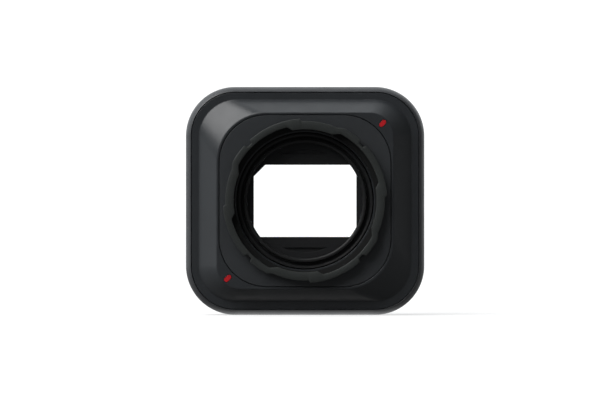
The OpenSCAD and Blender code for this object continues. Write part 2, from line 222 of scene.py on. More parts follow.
def skin(bm, loops, closed=True):
    """Joins each loop of edges to the next, and the last to the first"""
    follow = loops[1:] + loops[:1] if closed else loops[1:]
    for a, b in zip(loops, follow):
        # loops of one plane are held apart while they are joined, so that both run the same way round
        lifted = {v for e in b for v in e.verts}
        bmesh.ops.translate(bm, vec=(0, LIFT, 0), verts=list(lifted))
        bmesh.ops.bridge_loops(bm, edges=a + b)
        bmesh.ops.translate(bm, vec=(0, -LIFT, 0), verts=list(lifted))


def trace(bm, path, closed):
    """Draws a profile, its x the radius: (radius, place), or with a centre (radius, place) for an arc"""
    first = last = bm.verts.new((path[0][0], path[0][1], 0))
    for point in path[1:]:
        radius, place = point[:2]
        if len(point) == 3:
            cr, cy = point[2]
            start = math.atan2(last.co.y - cy, last.co.x - cr)
            sweep = math.atan2(place - cy, radius - cr) - start
            sweep = (sweep + math.pi) % (2 * math.pi) - math.pi
            reach = math.hypot(radius - cr, place - cy) * abs(sweep)
            made = bmesh.ops.spin(bm, geom=[last], cent=(cr, cy, 0), axis=(0, 0, 1), angle=sweep,
                                  steps=max(8, round(reach / 0.4)))
            last = made["geom_last"][0]
        else:
            corner = bm.verts.new((radius, place, 0))
            bm.edges.new((last, corner))
            last = corner
    if closed:
        bm.edges.new((last, first))


def turned(path, closed=True, steps=TURN_STEPS):
    """A profile turned about the optical axis"""
    bm = bmesh.new()
    trace(bm, path, closed)
    bmesh.ops.spin(bm, geom=bm.verts[:] + bm.edges[:], cent=(0, 0, 0), axis=(0, 1, 0),
                   angle=2 * math.pi, steps=steps, use_merge=True)
    return bm


def push(bm, faces, depth, keep):
    """Extrudes faces along the optical axis; keep leaves a copy of them where they were"""
    made = bmesh.ops.extrude_face_region(bm, geom=faces, use_keep_orig=keep)["geom"]
    bmesh.ops.translate(bm, vec=(0, depth, 0), verts=[v for v in made if isinstance(v, bmesh.types.BMVert)])
    if not keep:
        bmesh.ops.delete(bm, geom=faces, context="FACES")


def soften(bm, width, sharper=30, segments=2, where=None):
    """Rounds the edges that turn by more than the angle, where the test passes"""
    bmesh.ops.remove_doubles(bm, verts=bm.verts, dist=MERGE)
    bmesh.ops.recalc_face_normals(bm, faces=bm.faces)
    edges = [e for e in bm.edges if e.calc_face_angle(0) > math.radians(sharper)
             and (where is None or where((e.verts[0].co + e.verts[1].co) / 2))]
    bmesh.ops.bevel(bm, geom=edges, offset=width, offset_type="OFFSET", segments=segments, profile=0.5,
                    affect="EDGES", material=-1, clamp_overlap=False)


# Finishes ------------------------------------------------------------------------------------

def add(tree, kind, sockets=None, **settings):
    """Adds a node with its settings; a socket is given a value, or another node's output to link"""
    made = tree.nodes.new(kind)
    for key, value in settings.items():
        setattr(made, key, value)
    for key, value in (sockets or {}).items():
        if isinstance(value, bpy.types.NodeSocket):
            tree.links.new(value, made.inputs[key])
        else:
            made.inputs[key].default_value = value
    return made


def start_finish(name, **shader):
    """A material with its shader, whose sockets are set by name with _ for a space. One that is there
    already is made afresh, so the pieces of a material share it."""
    made = bpy.data.materials.get(name) or bpy.data.materials.new(name)
    made.use_nodes = True
    tree = made.node_tree
    tree.nodes.clear()
    values = {key.replace("_", " "): value for key, value in shader.items()}
    body = add(tree, "ShaderNodeBsdfPrincipled", values)
    add(tree, "ShaderNodeOutputMaterial", {"Surface": body.outputs["BSDF"]})
    return made, tree, body


def per_mm(mm):
    """The scale of a noise whose features are so many millimetres across"""
    return 1 / (mm * MM)


def shade(rgba, factor):
    """A colour made lighter or darker"""
    return (*[min(1, c * factor) for c in rgba[:3]], 1)


def clouds(tree, place, mm, detail=2.0):
    """Noise with features of the given size"""
    return add(tree, "ShaderNodeTexNoise",
               {"Vector": place, "Scale": per_mm(mm), "Detail": detail}).outputs["Fac"]


def spread(tree, value, low, high, start=0.3, end=0.7):
    """Maps a noise's middle range to low..high"""
    return add(tree, "ShaderNodeMapRange", {"Value": value, "From Min": start, "From Max": end,
                                            "To Min": low, "To Max": high}).outputs["Result"]


def mix(tree, factor, a, b):
    """Two colours mixed"""
    made = add(tree, "ShaderNodeMix", {"Factor": factor}, data_type="RGBA")
    for key, value in (("A", a), ("B", b)):
        socket = next(s for s in made.inputs if s.name == key and s.type == "RGBA")
        if isinstance(value, bpy.types.NodeSocket):
            tree.links.new(value, socket)
        else:
            socket.default_value = value
    return next(s for s in made.outputs if s.type == "RGBA")


def place_of(tree):
    """The point on the piece, in metres"""
    return add(tree, "ShaderNodeTexCoord").outputs["Object"]


def bump(tree, height, depth_mm):
    """A normal that follows a height from 0 to 1"""
    return add(tree, "ShaderNodeBump", {"Height": height, "Distance": depth_mm * MM,
                                        "Strength": 1.0}).outputs["Normal"]


def moulded(name, rgba, roughness, grain_mm, depth_mm, specular=0.5):
    """A moulded plastic: the tool's grain, slow changes of tone where it flowed, and a little handling"""
    made, tree, body = start_finish(name, IOR=1.55, Specular_IOR_Level=specular)
    place = place_of(tree)
    flow_mm, touch_mm = 9, 2.2      # how far apart the changes of tone and of polish lie
    grain = clouds(tree, place, grain_mm, 3)
    flow = clouds(tree, place, flow_mm)
    handled = clouds(tree, place, touch_mm, 4)
    tone = mix(tree, spread(tree, flow, 0, 1), shade(rgba, 0.94), shade(rgba, 1.06))
    tone = mix(tree, spread(tree, grain, 0, 0.5, 0.35, 0.65), tone, shade(rgba, 1.25))
    tree.links.new(tone, body.inputs["Base Color"])
    tree.links.new(spread(tree, handled, roughness - 0.04, roughness + 0.05), body.inputs["Roughness"])
    tree.links.new(bump(tree, grain, depth_mm), body.inputs["Normal"])
    return made


def casing_finish():
    """Glass-filled polycarbonate, moulded in a spark-eroded tool: an even, slightly silky matt black"""
    return moulded("glass_filled_polycarbonate_moulded", colour("casing"), 0.42, 0.16, 0.004)


def cover_finish():
    """Polycarbonate moulded in a finely blasted tool: a soft sheen that broadens lights into bands"""
    return moulded("polycarbonate_fine_blasted", colour("cover"), 0.32, 0.11, 0.0016)


def panel_finish():
    """Flat polycarbonate plate with a fine matt texture, a little duller than the cover"""
    return moulded("polycarbonate_matt_plate", colour("panel"), 0.46, 0.13, 0.003)


def ring_finish():
    """Fibre-filled nylon, moulded: a dry, slightly greener black with short fibres close under the
    skin. The ledge under the tabs is painted a deeper black and made rougher: painted shade for the recess
    behind the tabs."""
    made, tree, body = start_finish("fibre_filled_nylon_moulded", IOR=1.53, Specular_IOR_Level=0.3)
    place = place_of(tree)
    long = add(tree, "ShaderNodeMapping", {"Vector": place, "Scale": (1, 4, 0.35)}).outputs["Vector"]
    fibres = clouds(tree, long, 0.12, 3)
    skin_tone = clouds(tree, place, 5)
    rgba = colour("ring")
    tone = mix(tree, spread(tree, skin_tone, 0, 1), shade(rgba, 0.93), shade(rgba, 1.07))
    tone = mix(tree, spread(tree, fibres, 0, 0.6, 0.45, 0.75), tone, shade(rgba, 1.5))
    shade_r, lit_r = 15.85 * MM, 15.9 * MM      # painted shade covers the wall behind the tabs
    shade_y, lit_y = -0.8 * MM, -1.1 * MM       # and ends at the tabs' under side
    across = add(tree, "ShaderNodeVectorMath", {0: place, 1: (1, 0, 1)}, operation="MULTIPLY")
    reach = add(tree, "ShaderNodeVectorMath", {0: across.outputs["Vector"]}, operation="LENGTH")
    within = spread(tree, reach.outputs["Value"], 1, 0, shade_r, lit_r)
    depth = add(tree, "ShaderNodeSeparateXYZ", {"Vector": place}).outputs["Y"]
    under = spread(tree, depth, 0, 1, lit_y, shade_y)
    # painted shade: darkens the ledge in the recess behind the tabs, where they shade it
    ledge_shaded = add(tree, "ShaderNodeMath", {0: within, 1: under}, operation="MULTIPLY").outputs["Value"]
    # painted shade mixed into the nylon's colour on the ledge
    tree.links.new(mix(tree, ledge_shaded, tone, colour("ledge_shade")), body.inputs["Base Color"])
    tree.links.new(spread(tree, ledge_shaded, 0.45, 0.8, 0, 1), body.inputs["Roughness"])
    tree.links.new(bump(tree, fibres, 0.002), body.inputs["Normal"])
    return made


def enamel_finish():
    """Red enamel, filled into its recess and baked: glossy, with slightly uneven pigment"""
    made, tree, body = start_finish("enamel_filled_red", IOR=1.52, Roughness=0.28, Coat_Weight=0.3,
                                    Coat_Roughness=0.1)
    place = place_of(tree)
    rgba = colour("mark")
    pigment = clouds(tree, place, 0.5, 3)
    tree.links.new(mix(tree, spread(tree, pigment, 0, 1), shade(rgba, 0.85), shade(rgba, 1.1)),
                   body.inputs["Base Color"])
    tree.links.new(bump(tree, pigment, 0.01), body.inputs["Normal"])
    return made


def rubber_finish():
    """Black silicone rubber, pressed in a polished tool and lightly powdered: satin, very dark"""
    made, tree, body = start_finish("silicone_rubber_pressed", IOR=1.43, Sheen_Weight=0.05,
                                    Sheen_Roughness=0.5)
    place = place_of(tree)
    rgba = colour("rubber")
    powder = clouds(tree, place, 0.3, 5)
    tree.links.new(mix(tree, spread(tree, powder, 0, 1, 0.45, 0.75), rgba, shade(rgba, 1.7)),
                   body.inputs["Base Color"])
    tree.links.new(spread(tree, powder, 0.36, 0.5), body.inputs["Roughness"])
    tree.links.new(bump(tree, powder, 0.002), body.inputs["Normal"])
    return made


def anodised_finish():
    """Black anodised aluminium, turned: fine lathe rings under a dyed, slightly dusty oxide skin"""
    made, tree, body = start_finish("anodised_aluminium_turned", IOR=1.6, Specular_IOR_Level=0.4)
    place = place_of(tree)
    rgba = colour("metal")
    feed_mm = 0.14      # one turn of the lathe's feed, drawn about twice as coarse as it is
    scale = 2 * math.pi / (20 * feed_mm * MM)       # the texture turns by 20 radians a unit of scale
    rings = add(tree, "ShaderNodeTexWave", {"Vector": place, "Scale": scale, "Distortion": 0.6,
                                            "Detail": 1.0},
                wave_type="RINGS", rings_direction="Y").outputs["Fac"]
    dust = clouds(tree, place, 0.6, 5)
    tone = mix(tree, spread(tree, rings, 0, 0.5, 0, 1), shade(rgba, 0.85), shade(rgba, 1.3))
    tree.links.new(mix(tree, spread(tree, dust, 0, 0.5, 0.5, 0.8), tone, shade(rgba, 2)),
                   body.inputs["Base Color"])
    tree.links.new(spread(tree, dust, 0.46, 0.6), body.inputs["Roughness"])
    tree.links.new(bump(tree, rings, 0.0012), body.inputs["Normal"])
    return made


def mask_finish():
    """Moulded light baffle, blasted dead matt so that it throws no light into the picture"""
    return moulded("polycarbonate_dead_matt_baffle", colour("mask"), 0.6, 0.14, 0.004, specular=0.35)


def glass_finish():
    """Polished optical glass under a quarter-wave coating, which leaves only a faint violet reflection"""
    # one film stands for a stack of layers, so its index is lower than a real coating's
    film_nm, film_ior = 117.0, 1.26
    made, tree, body = start_finish("optical_glass_coated", Base_Color=(1, 1, 1, 1), IOR=1.52,
                                    Transmission_Weight=1.0, Thin_Film_Thickness=film_nm,
                                    Thin_Film_IOR=film_ior)
    place = place_of(tree)
    wiped = clouds(tree, place, 3.5, 5)
    tree.links.new(spread(tree, wiped, 0, 0.012, 0.55, 0.8), body.inputs["Roughness"])
    return made


def film_finish():
    """Acrylic adhesive pad: a cloudy grey film with a soft, tacky gloss"""
    made, tree, body = start_finish("acrylic_adhesive_film", IOR=1.47)
    haze = clouds(tree, place_of(tree), 0.8, 4)
    tree.links.new(mix(tree, spread(tree, haze, 0, 1), linear("3E3E3B"), linear("4A4A47")),
                   body.inputs["Base Color"])
    tree.links.new(spread(tree, haze, 0.35, 0.5), body.inputs["Roughness"])
    return made


def steel_finish():
    """Stainless steel, cold headed and tumbled: bright, with small random scratches"""
    made, tree, body = start_finish("stainless_steel_tumbled", Metallic=1.0)
    scratch = clouds(tree, place_of(tree), 0.15, 5)
    tree.links.new(mix(tree, spread(tree, scratch, 0, 1), linear("B9BABD"), linear("CFD0D2")),
                   body.inputs["Base Color"])
    tree.links.new(spread(tree, scratch, 0.25, 0.42), body.inputs["Roughness"])
    return made


# what makes the finish of each of the record's material slots
FINISHES = {
    "casing_plastic": casing_finish, "cover_plastic": cover_finish, "panel_plastic": panel_finish,
    "ring_plastic": ring_finish, "mark_enamel": enamel_finish, "seal_rubber": rubber_finish,
    "anodised_aluminium": anodised_finish, "mask_plastic": mask_finish, "coated_glass": glass_finish,
    "adhesive_film": film_finish, "screw_steel": steel_finish,
}


# Pieces --------------------------------------------------------------------------------------

def linked(name, bm):
    """Makes the shape, which is in millimetres, an object of the scene"""
    bmesh.ops.scale(bm, vec=(MM, MM, MM), verts=bm.verts)
    mesh = bpy.data.meshes.new(name)
    bm.to_mesh(mesh)
    bm.free()
    made = bpy.data.objects.new(name, mesh)
    bpy.context.collection.objects.link(made)
    return made


def piece(name, bm, slot, nodes, flat=True):
    """Makes the shape a piece that rides on the lens and stands for its nodes"""
    bmesh.ops.remove_doubles(bm, verts=bm.verts, dist=MERGE)
    bmesh.ops.recalc_face_normals(bm, faces=bm.faces)
    for face in bm.faces:
        face.smooth = True
    made = linked(name, bm)
    made.data.materials.append(FINISHES[slot]())
    made.data.set_sharp_from_angle(angle=SHARP)
    if flat:
        even = made.modifiers.new("Even faces", "WEIGHTED_NORMAL")
        even.mode, even.weight, even.keep_sharp = "FACE_AREA", 50, True
    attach(made, "root")
    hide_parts(*nodes)
    return made


class BuildStep:
    """What every operator of the lens shares"""
    bl_options = {"REGISTER", "UNDO"}


class LENS_OT_casing(BuildStep, bpy.types.Operator):
    """Build the casing: the pale rim, the sides, the rounded front and the cup for the front glass"""
    bl_idname = "lens.casing"
    bl_label = "Casing"

    def execute(self, context):
        s = sizes()
        w, h, r = s["body_w"], s["body_h"], s["body_r"]
        border_y = box_end("front_shell", 1, 0)
        front_y = box_end("front_shell", 1, 1)
        cup_y = box_end("front_o_ring", 1, 0)
        ledge_y = box_end("body_gasket", 1, 1)
        front_t, side_t, cup_t, floor_t = 1.8, 1.3, 1.5, 1      # walls: front, sides, cup, cup's floor
        wall_y = front_y - front_t
        floor_y = cup_y - floor_t
        cup_r = box_size("front_element", 0) / 2 + FIT
        cup_out_r = cup_r + cup_t
        trim_r, trim_y = box_size("front_trim", 0) / 2 + FIT, box_end("front_trim", 1, 0)
        barrel_r = box_size("middle_element", 0) / 2 + 1.1      # the hole for the barrel's nose
        rim, round_front = s["rim_curve"], s["nose_round"]
        land = s["rim_w"] - FIT
        rise = math.sqrt(rim ** 2 - (rim - land) ** 2)
        cavity = s["rim_w"] + side_t
        bm = bmesh.new()

        def around(inset, y):
            return outline(bm, w - 2 * inset, h - 2 * inset, r - inset, y)

        start = math.asin((rim - land) / rim)
        shares = [i / CURVE_STEPS for i in range(CURVE_STEPS + 1)]
        curve = [start + (math.pi / 2 - start) * share for share in shares]
        nose = [math.pi / 2 * share for share in shares]
        loops = [around(s["rim_w"], ledge_y), around(s["rim_w"], border_y)]
        loops += [around(rim - rim * math.sin(a), border_y + rise - rim * math.cos(a)) for a in curve]
        loops += [around(round_front * (1 - math.cos(a)), front_y - round_front * (1 - math.sin(a)))
                  for a in nose]
        loops += [circle(bm, trim_r, front_y), circle(bm, trim_r, trim_y), circle(bm, cup_r, trim_y),
                  circle(bm, cup_r, cup_y), circle(bm, barrel_r, cup_y), circle(bm, barrel_r, floor_y),
                  circle(bm, cup_out_r, floor_y), circle(bm, cup_out_r, wall_y),
                  around(cavity, wall_y), around(cavity, ledge_y)]
        skin(bm, loops)
        soften(bm, width=0.12, sharper=50)
        piece("casing", bm, "casing_plastic", ["front_shell"])
        return {"FINISHED"}


def mark_form(side, y0, y1, grow=0):
    """The form of an index mark at an angle, from y0 to y1"""
    s = sizes()
    length, width = s["mark_l"] + 2 * grow, s["mark_w"] + 2 * grow
    end_r = width / 2 - 0.001       # a hair under a half circle, so that the corners don't meet
    bm = bmesh.new()
    face = rounded_face(bm, length, width, [end_r] * 4, y0, steps=12)
    push(bm, [face], y1 - y0, keep=True)
    bmesh.ops.translate(bm, vec=(s["mark_at"], 0, 0), verts=bm.verts)
    bmesh.ops.rotate(bm, cent=(0, 0, 0), matrix=about_axis(side), verts=bm.verts)
    bmesh.ops.recalc_face_normals(bm, faces=bm.faces)
    return bm


def cut_recess(made, form):
    """Cuts a form out of a piece, before its other modifiers"""
    cutter = linked("cutter", form)
    cut = made.modifiers.new("Recess", "BOOLEAN")
    cut.operation, cut.solver, cut.object = "DIFFERENCE", "EXACT", cutter
    made.modifiers.move(len(made.modifiers) - 1, 0)
    with bpy.context.temp_override(object=made, active_object=made):
        bpy.ops.object.modifier_apply(modifier=cut.name)
    bpy.data.objects.remove(cutter)


class LENS_OT_rear_cover(BuildStep, bpy.types.Operator):
    """Build the rear cover: the flat border, the sloping flank and the plateau with its two ears"""
    bl_idname = "lens.rear_cover"
    bl_label = "Rear cover"

    def execute(self, context):
        s = sizes()
        border_y = box_end("front_shell", 1, 0)
        in_y = box_end("rear_cover", 1, 1)
        cover_w, cover_h = box_size("rear_cover", 0), box_size("rear_cover", 2)
        cover_r = s["body_r"] - s["rim_w"] - FIT
        foot_w, foot_h = cover_w - 2 * s["border_w"], cover_h - 2 * s["border_w"]
        pocket, pocket_r = s["panel_w"] + 2 * s["seam_w"], s["panel_r"] + s["seam_w"]
        pocket_y = box_end("panel_adhesive", 1, 1)
        top = pocket + 2 * s["lip_w"]
        top_r = [s["ear_r"], pocket_r + s["lip_w"]] * 2
        flange_r, flange_y = box_size("bayonet_ring", 0) / 2 + FIT, box_end("bayonet_ring", 1, 1)
        barrel_r = box_size("barrel_o_ring", 0) / 2
        well_r, plate_t = 17.2, 2.05        # the well for the barrel's flange, and the plate before it
        plate_y = flange_y + plate_t
        mark_sink, mark_gap = 0.5, 0.05     # the index marks' recesses: depth, and gap round a mark
        bm = bmesh.new()

        def level(share, y):
            radii = [a + (s["foot_r"] - a) * share for a in top_r]
            return outline(bm, top + (foot_w - top) * share, top + (foot_h - top) * share, radii, y)

        loops = [outline(bm, pocket, pocket, pocket_r, pocket_y),
                 outline(bm, pocket, pocket, pocket_r, 0)]
        fillet, steps = 0.07, 5     # each fillet's share of the slope's width, and its facets
        ease = [fillet * i / steps for i in range(steps + 1)]

        def drop(a):
            """How far a fillet has left the flat beside it, once it has crossed a share of the slope"""
            return border_y * a * a / (2 * fillet * (1 - fillet))

        loops += [level(a, drop(a)) for a in ease]
        loops += [level(1 - a, border_y - drop(a)) for a in reversed(ease)]
        loops += [outline(bm, cover_w, cover_h, cover_r, border_y),
                  outline(bm, cover_w, cover_h, cover_r, in_y),
                  circle(bm, well_r, in_y), circle(bm, well_r, plate_y), circle(bm, barrel_r, plate_y),
                  circle(bm, barrel_r, flange_y), circle(bm, flange_r, flange_y),
                  circle(bm, flange_r, pocket_y)]
        skin(bm, loops)
        soften(bm, width=0.07, sharper=60)
        cover = piece("cover", bm, "cover_plastic", ["rear_cover"])
        for side in MARK_SIDES.values():
            cut_recess(cover, mark_form(side, -1, mark_sink, mark_gap))
        cover.data.set_sharp_from_angle(angle=SHARP)
        return {"FINISHED"}


class LENS_OT_mount_panel(BuildStep, bpy.types.Operator):
    """Build the square mount panel, with a crisp edge and the hole for the bayonet ring"""
    bl_idname = "lens.mount_panel"
    bl_label = "Mount panel"

    def execute(self, context):
        s = sizes()
        w, r = s["panel_w"], s["panel_r"]
        back = box_end("mount_panel", 1, 1)
        hole = s["bore_r"] + 1.85       # the bayonet's neck, with a gap round it
        bm = bmesh.new()
        skin(bm, [outline(bm, w, w, r, 0), circle(bm, hole, 0), circle(bm, hole, back),
                  outline(bm, w, w, r, back)])
        soften(bm, width=0.06, sharper=50)
        piece("panel", bm, "panel_plastic", ["mount_panel"])
        return {"FINISHED"}


class LENS_OT_bayonet_ring(BuildStep, bpy.types.Operator):
    """Build the bayonet ring: its lug plate with lugs, notches and tabs, its neck and its flange"""
    bl_idname = "lens.bayonet_ring"
    bl_label = "Bayonet ring"

    def execute(self, context):
        s = sizes()
        bore, lug = s["bore_r"], s["lug_r"]
        neck = bore + 1.7
        relief, notch = neck + 0.25, neck + 0.05        # the lug plate's edge between lugs, and in a notch
        tab, back = bore + 0.2, bore + 1.1              # the inner tabs, and the wall behind them
        edge = back - 0.02                              # the plate's inner edge between tabs
        flange = box_size("bayonet_ring", 0) / 2
        top, end = box_end("bayonet_ring", 1, 0), box_end("bayonet_ring", 1, 1)
        # places along the axis: the plate's under side, the ledge, the bore's end and the flange
        under, ledge, wall, shelf = top + 0.95, -0.3, 1.9, 1.15
        outer = [(0, relief), (2.5, relief), (4, lug), (42, lug), (43, notch), (47, notch), (48, lug),
                 (62, lug), (66, relief), (90, relief)]
        inner = [(0, tab), (10, tab), (14, edge), (62, edge), (68, tab), (90, tab)]
        bm = bmesh.new()

        def ring(radius, y):
            return circle(bm, radius, y, RING_STEPS)

        skin(bm, [shaped_circle(bm, top, inner), shaped_circle(bm, under, inner), ring(back, under),
                  ring(back, ledge), ring(bore, ledge), ring(bore, wall), ring(tab, wall),
                  ring(tab, end), ring(flange, end), ring(flange, shelf), ring(neck, shelf),
                  ring(neck, under), shaped_circle(bm, under, outer), shaped_circle(bm, top, outer)])
        soften(bm, width=0.09, sharper=60)
        piece("bayonet", bm, "ring_plastic", ["bayonet_ring"])
        return {"FINISHED"}


class LENS_OT_index_marks(BuildStep, bpy.types.Operator):
    """Build the two red enamel marks in the plateau's ears"""
    bl_idname = "lens.index_marks"
    bl_label = "Index marks"

    def execute(self, context):
        for name, side in MARK_SIDES.items():
            node = "index_mark_" + name
            top = box_end(node, 1, 0)
            bm = mark_form(side, top, box_end(node, 1, 1))
            soften(bm, width=0.12, sharper=50, segments=4, where=lambda p: p.y < top + 0.01)
            piece("mark_" + name, bm, "mark_enamel", [node])
        return {"FINISHED"}


class LENS_OT_barrel(BuildStep, bpy.types.Operator):
    """Build the barrel, its rear seal and the retaining ring inside it"""
    bl_idname = "lens.barrel"
    bl_label = "Barrel, seal and retainer"

    def execute(self, context):
        tip, nose = box_end("lens_barrel", 1, 0), box_end("lens_barrel", 1, 1)
        tube_r, nose_r, cell_r = 14.25, 14.7, GLASS_R + 0.05        # outside, at the nose, and inside
        seal_in, seal_out, seal_y = 13.08, 14.12, tip + 0.3         # the groove for the mount seal
        ring_r, ring_y, ring_end = 13.8, tip + 0.6, tip + 1.2       # the groove for the O-ring
        flange_r, flange_y, flange_end = 16.85, 4.4, 5.8
        seat_r, seat_y, stop_y = 13.8, nose - 2.2, nose - 2.9       # the middle glass's seat and its step
        path = [(cell_r, tip), (seal_in, tip), (seal_in, seal_y), (seal_out, seal_y), (seal_out, tip),
                (tube_r, tip), (tube_r, ring_y), (ring_r, ring_y), (ring_r, ring_end), (tube_r, ring_end),
                (tube_r, flange_y), (flange_r, flange_y), (flange_r, flange_end), (nose_r, flange_end),
                (nose_r, nose), (seat_r, nose), (seat_r, seat_y), (CLEAR_R, seat_y), (CLEAR_R, stop_y),
                (cell_r, stop_y)]
        bm = turned(path)
        # the tip's end and the front are softened; the glass and the O-ring sit against sharp steps
        soften(bm, width=0.05, sharper=50, where=lambda p: p.y < tip + 0.2 or p.y > 5)
        piece("barrel", bm, "anodised_aluminium", ["lens_barrel"])

        crown, base = box_end("mount_seal", 1, 0), box_end("mount_seal", 1, 1)
        mid_r, half = 13.6, 0.5     # the seal's middle circle, and the radius of its round lip
        lip_y = crown + half
        bm = turned([(mid_r - half, base), (mid_r + half, base), (mid_r + half, lip_y),
                     (mid_r - half, lip_y, (mid_r, lip_y))])
        piece("seal", bm, "seal_rubber", ["mount_seal"], flat=False)

        face, rear = box_end("rear_retainer", 1, 0), box_end("rear_retainer", 1, 1)
        chamfer = 0.25
        bm = turned([(CLEAR_R + chamfer, face), (GLASS_R, face), (GLASS_R, rear), (CLEAR_R, rear),
                     (CLEAR_R, face + chamfer)])
        soften(bm, width=0.04, sharper=30)
        piece("retainer", bm, "anodised_aluminium", ["rear_retainer"])
        return {"FINISHED"}


def in_pocket(p, radius, chord):
    """Whether a point of the mask's face lies in one of its segment pockets"""
    return abs(p.z) > chord and math.hypot(p.x, p.z) < radius


def pocket_edge(edge, radius, chord):
    """Whether an edge of the mask's face bounds a segment pocket"""
    a, b = (in_pocket(f.calc_center_median(), radius, chord) for f in edge.link_faces)
    return a != b


class LENS_OT_field_mask(BuildStep, bpy.types.Operator):
    """Build the field mask: a disc with the picture's window and two shallow segment pockets"""
    bl_idname = "lens.field_mask"
    bl_label = "Field mask"

    def execute(self, context):
        s = sizes()
        face, back = box_end("field_mask", 1, 0), box_end("field_mask", 1, 1)
        out_r = box_size("field_mask", 0) / 2
        pocket_r, chord, sink = 10.8, 9.8, 0.35     # the pockets: arc, straight side and depth
        half_w, half_h, cut = s["window_w"] / 2, s["window_h"] / 2, s["window_cut"]
        bm = bmesh.new()
        bmesh.ops.create_circle(bm, cap_ends=True, segments=TURN_STEPS, radius=pocket_r,
                                matrix=facing(face))
        loops = [bm.edges[:], circle(bm, CLEAR_R, face, TURN_STEPS), circle(bm, out_r, face, TURN_STEPS)]
        skin(bm, loops, closed=False)
        corner = Vector((-half_w + cut / 2, 0, half_h - cut / 2))
        planes = [((x, 0, 0), (1, 0, 0)) for x in (-half_w, half_w)]
        planes += [((0, 0, z), (0, 0, 1)) for z in (-half_h, half_h, -chord, chord)]
        planes.append((corner, (-1, 0, 1)))
        for place, normal in planes:
            bmesh.ops.bisect_plane(bm, geom=bm.verts[:] + bm.edges[:] + bm.faces[:], dist=1e-5,
                                   plane_co=place, plane_no=normal)

        def in_window(p):
            return (abs(p.x) < half_w and abs(p.z) < half_h and p.z - p.x < corner.z - corner.x
                    and math.hypot(p.x, p.z) < CLEAR_R)

        opened = [f for f in bm.faces if in_window(f.calc_center_median())]
        bmesh.ops.delete(bm, geom=opened, context="FACES")
        bmesh.ops.dissolve_limit(bm, angle_limit=math.radians(1), verts=[], edges=[
            e for e in bm.edges if len(e.link_faces) == 2 and not pocket_edge(e, pocket_r, chord)])
        sunk = [f for f in bm.faces if in_pocket(f.calc_center_median(), pocket_r, chord)]
        push(bm, bm.faces[:], back - face, keep=True)
        push(bm, sunk, sink, keep=False)
        soften(bm, width=0.05, sharper=50, where=lambda p: p.y < face + sink + 0.05)
        piece("mask", bm, "mask_plastic", ["field_mask"])
        return {"FINISHED"}


def sag(curve, radius):
    """How far a curved face has fallen away at a radius"""
    return curve - math.sqrt(curve * curve - radius * radius)


def dome(foot, radius, curve):
    """The arc of a domed face, from its foot to its top on the axis"""
    top = foot + sag(curve, radius)
    return 0, top, (0, top - curve)


def hollow(foot, radius, curve):
    """A hollow face: its top on the axis, and the arc from there down to its foot"""
    top = foot + sag(curve, radius)
    return [(0, top), (radius, foot, (0, top - curve))]


class LENS_OT_glass(BuildStep, bpy.types.Operator):
    """Build the five glass elements, from the flat rear lens to the domed front one"""
    bl_idname = "lens.glass"
    bl_label = "Glass elements"

    def execute(self, context):
        rear, crown, middle, front = (box_end(node, 1, 0) for node in (
            "rear_element", "doublet_crown", "middle_element", "front_element"))
        flint = box_end("doublet_flint", 1, 1)
        rear_t, crown_t, cement_t = 1.2, 0.7, 0.02
        # steps of the two front elements: the rim's radius and thickness, then the dome's foot
        mid_rim, mid_t, mid_dome, mid_foot = 13.75, 1.1, 12.95, 1.8
        front_rim, front_t, front_dome, front_foot, front_hollow = 17.8, 1.4, 16.6, 2.5, 14
        # radii of the curves, from the camera to the scene
        rear_curve, cement_curve, mid_in, mid_out, front_in, front_out = 60, 50, 30, 28, 22, 30
        paths = {
            "rear_element": [(0, rear), (GLASS_R, rear), (GLASS_R, rear + rear_t), (CLEAR_R, rear + rear_t),
                             dome(rear + rear_t, CLEAR_R, rear_curve)],
            "doublet_crown": [(0, crown), (GLASS_R, crown), (GLASS_R, crown + crown_t),
                              dome(crown + crown_t, GLASS_R, cement_curve)],
            "doublet_flint": [(0, flint), (GLASS_R, flint), (GLASS_R, crown + crown_t + cement_t),
                              dome(crown + crown_t + cement_t, GLASS_R, cement_curve)],
            "middle_element": [*hollow(middle, CLEAR_R, mid_in), (mid_rim, middle),
                               (mid_rim, middle + mid_t), (mid_dome, middle + mid_t),
                               (mid_dome, middle + mid_foot), dome(middle + mid_foot, mid_dome, mid_out)],
            "front_element": [*hollow(front, front_hollow, front_in), (front_rim, front),
                              (front_rim, front + front_t), (front_dome, front + front_t),
                              (front_dome, front + front_foot),
                              dome(front + front_foot, front_dome, front_out)],
        }
        for node, path in paths.items():
            piece("glass_" + node, turned(path, closed=False), "coated_glass", [node], flat=False)
        return {"FINISHED"}


class LENS_OT_front_trim(BuildStep, bpy.types.Operator):
    """Build the turned ring round the front glass"""
    bl_idname = "lens.front_trim"
    bl_label = "Front trim"

    def execute(self, context):
        y0, y1 = box_end("front_trim", 1, 0), box_end("front_trim", 1, 1)
        in_r, out_r = 16.8, box_size("front_trim", 0) / 2
        inner, outer = 0.78, 0.5        # chamfers towards the glass and towards the casing
        bm = turned([(in_r, y0), (out_r, y0), (out_r, y1 - outer), (out_r - outer, y1),
                     (in_r + inner, y1), (in_r, y1 - inner)])
        soften(bm, width=0.05, sharper=30)
        piece("trim", bm, "anodised_aluminium", ["front_trim"])
        return {"FINISHED"}


class LENS_OT_inner_parts(BuildStep, bpy.types.Operator):
    """Finish the pieces inside the lens: seals, rings, adhesive pads and screws"""
    bl_idname = "lens.inner_parts"
    bl_label = "Inner parts"

    def execute(self, context):
        slots = {row["node"]: row["material_slot"] for row in frame["record"]["subparts"]}
        for node, made in frame["nodes"].items():
            if not made.hide_render:
                made.material_slots[0].material = FINISHES[slots[node]]()
        return {"FINISHED"}


# Stage ---------------------------------------------------------------------------------------

